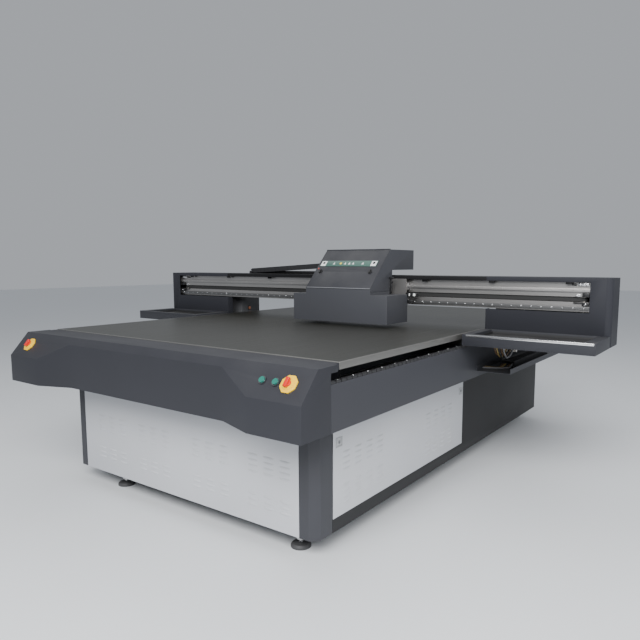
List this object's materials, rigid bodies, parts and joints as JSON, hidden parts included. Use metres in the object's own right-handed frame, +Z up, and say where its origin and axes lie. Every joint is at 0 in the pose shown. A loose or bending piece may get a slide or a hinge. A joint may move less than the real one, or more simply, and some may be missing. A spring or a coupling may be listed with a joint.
{
  "type": "flatbed uv printer",
  "caption": "Large flatbed UV printer: vacuum table on a closed cabinet, a travelling gantry with end housings and trays, and a lifting print carriage with a sloped hood.",
  "frame": {"origin": "on the floor, at the centre of the machine's footprint", "axes": "+Z up, +X along the gantry to the operator's right, +Y to the rear of the machine"},
  "size_m": [3.72, 3.598, 1.463],
  "materials": {
    "powder_coat": "satin textured powder coat",
    "skin_coat": "satin powder coat",
    "silver_coat": "satin silver powder coat",
    "frame_paint": "primer and paint",
    "bed": "hard-anodised, satin",
    "anodised": "satin anodised",
    "ground_steel": "ground",
    "cast_foot": "blackened",
    "chain_plastic": "moulded",
    "rubber_belt": "reinforced",
    "motor_paint": "satin",
    "blower_alloy": "cast",
    "duct_plastic": "extruded",
    "tank_plastic": "natural polyethylene",
    "switch_yellow": "moulded",
    "switch_red": "moulded",
    "button_green": "moulded",
    "bezel_metal": "turned",
    "knob_plastic": "moulded",
    "head_black": "moulded",
    "pan_steel": "folded sheet"
  },
  "bodies": {
    "base": {"frame_sills": "frame_paint", "frame_sill_ties": "frame_paint", "frame_posts": "frame_paint", "frame_head_ties": "frame_paint", "frame_rail_beams": "frame_paint", "foot_pads": "cast_foot", "foot_stems": "ground_steel", "corner_posts": "skin_coat", "front_panel": "silver_coat", "side_skins": "skin_coat", "side_panels": "silver_coat", "rear_skin": "skin_coat", "front_apron": "powder_coat", "side_aprons": "powder_coat", "rear_apron": "powder_coat", "table_skin": "bed", "table_core": "anodised", "table_trim": "anodised", "vacuum_ducts": "duct_plastic", "vacuum_blower": "blower_alloy", "electrics_box": "silver_coat", "y_rails": "ground_steel", "y_screw_blocks": "anodised", "y_motors": "motor_paint", "y_chain_tray": "skin_coat", "switch_plates": "switch_yellow", "button_bezels": "bezel_metal"},
    "gantry": {"beam": "anodised", "x_rails": "ground_steel", "x_belt": "rubber_belt", "x_motor": "motor_paint", "beam_cover": "skin_coat", "end_housings": "powder_coat", "side_trays": "powder_coat", "drip_pans": "pan_steel", "gantry_feet": "anodised", "gantry_legs": "skin_coat", "y_blocks": "anodised", "ink_tanks": "tank_plastic", "y_chain": "chain_plastic"},
    "carriage": {"saddle": "anodised", "x_blocks": "ground_steel", "x_chain": "chain_plastic"},
    "print_head": {"head_frame": "anodised", "print_heads": "head_black", "uv_lamps": "motor_paint", "carriage_cover": "powder_coat", "hood_shell": "powder_coat"},
    "hood_lid": {"hood_lid": "powder_coat"},
    "latch_left": {"latch_left": "knob_plastic"},
    "latch_right": {"latch_right": "knob_plastic"},
    "y_screw_left": {"y_screw_left": "ground_steel"},
    "y_screw_right": {"y_screw_right": "ground_steel"},
    "x_drive_pulley": {"x_drive_pulley": "anodised"},
    "x_idler_pulley": {"x_idler_pulley": "anodised"},
    "z_screw": {"z_screw": "ground_steel"},
    "switch_handle_left": {"switch_handle_left": "switch_red"},
    "switch_handle_right": {"switch_handle_right": "switch_red"},
    "start_button": {"start_button": "button_green"},
    "reset_button": {"reset_button": "button_green"}
  },
  "joints": [
    {"name": "gantry_travel", "type": "slide", "parent": "base", "child": "gantry", "axis": [0, 1, 0], "range_m": [-1.25, 1.2], "deforming": ["y_chain"]},
    {"name": "carriage_travel", "type": "slide", "parent": "gantry", "child": "carriage", "axis": [1, 0, 0], "range_m": [-1.56, 1.11], "deforming": ["x_chain"]},
    {"name": "head_lift", "type": "slide", "parent": "carriage", "child": "print_head", "axis": [0, 0, 1], "range_m": [-0.01, 0.1]},
    {"name": "lid_hinge", "type": "hinge", "parent": "print_head", "child": "hood_lid", "pos_m": [0.226, -0.043, 1.459], "axis": [-1, 0, 0], "range_deg": [0, 75]},
    {"name": "latch_left_turn", "type": "hinge", "parent": "hood_lid", "child": "latch_left", "pos_m": [0.006, -0.18944, 1.30836], "axis": [0, -0.7195, 0.6945], "range_deg": [0, 90]},
    {"name": "latch_right_turn", "type": "hinge", "parent": "hood_lid", "child": "latch_right", "pos_m": [0.415, -0.18944, 1.30836], "axis": [0, -0.7195, 0.6945], "range_deg": [0, 90]},
    {"name": "y_screw_left_turn", "type": "hinge", "parent": "base", "child": "y_screw_left", "pos_m": [-0.91, 0, 0.812], "axis": [0, 1, 0], "range_deg": [-14091.6, 13528]},
    {"name": "y_screw_right_turn", "type": "hinge", "parent": "base", "child": "y_screw_right", "pos_m": [0.91, 0, 0.812], "axis": [0, 1, 0], "range_deg": [-14091.6, 13528]},
    {"name": "drive_pulley_turn", "type": "hinge", "parent": "gantry", "child": "x_drive_pulley", "pos_m": [1.7, 0.082, 1.158], "axis": [0, 0, 1], "range_deg": [-4071.9, 2897.6]},
    {"name": "idler_pulley_turn", "type": "hinge", "parent": "gantry", "child": "x_idler_pulley", "pos_m": [-1.7, 0.082, 1.158], "axis": [0, 0, 1], "range_deg": [-4071.9, 2897.6]},
    {"name": "z_screw_turn", "type": "hinge", "parent": "carriage", "child": "z_screw", "pos_m": [0.226, -0.034, 1.18], "axis": [0, 0, 1], "range_deg": [-361.7, 3608.2]},
    {"name": "main_switch_left_turn", "type": "hinge", "parent": "base", "child": "switch_handle_left", "pos_m": [-0.993, -1.7435, 0.8825], "axis": [0, -0.758, 0.6522], "range_deg": [-90, 0]},
    {"name": "main_switch_right_turn", "type": "hinge", "parent": "base", "child": "switch_handle_right", "pos_m": [1.017, -1.7435, 0.8825], "axis": [0, -0.758, 0.6522], "range_deg": [-90, 0]},
    {"name": "start_button_press", "type": "slide", "parent": "base", "child": "start_button", "axis": [0, 0.758, -0.6522], "range_m": [0, 0.003], "stiffness_N_per_m": 400},
    {"name": "reset_button_press", "type": "slide", "parent": "base", "child": "reset_button", "axis": [0, 0.758, -0.6522], "range_m": [0, 0.003], "stiffness_N_per_m": 400}
  ],
  "couplings": [
    {"joint": "y_screw_left_turn", "follows": "gantry_travel", "rad_per_m": 196.35},
    {"joint": "y_screw_right_turn", "follows": "gantry_travel", "rad_per_m": 196.35},
    {"joint": "drive_pulley_turn", "follows": "carriage_travel", "rad_per_m": 45.455},
    {"joint": "idler_pulley_turn", "follows": "carriage_travel", "rad_per_m": 45.455},
    {"joint": "z_screw_turn", "follows": "head_lift", "rad_per_m": 628.32}
  ]
}
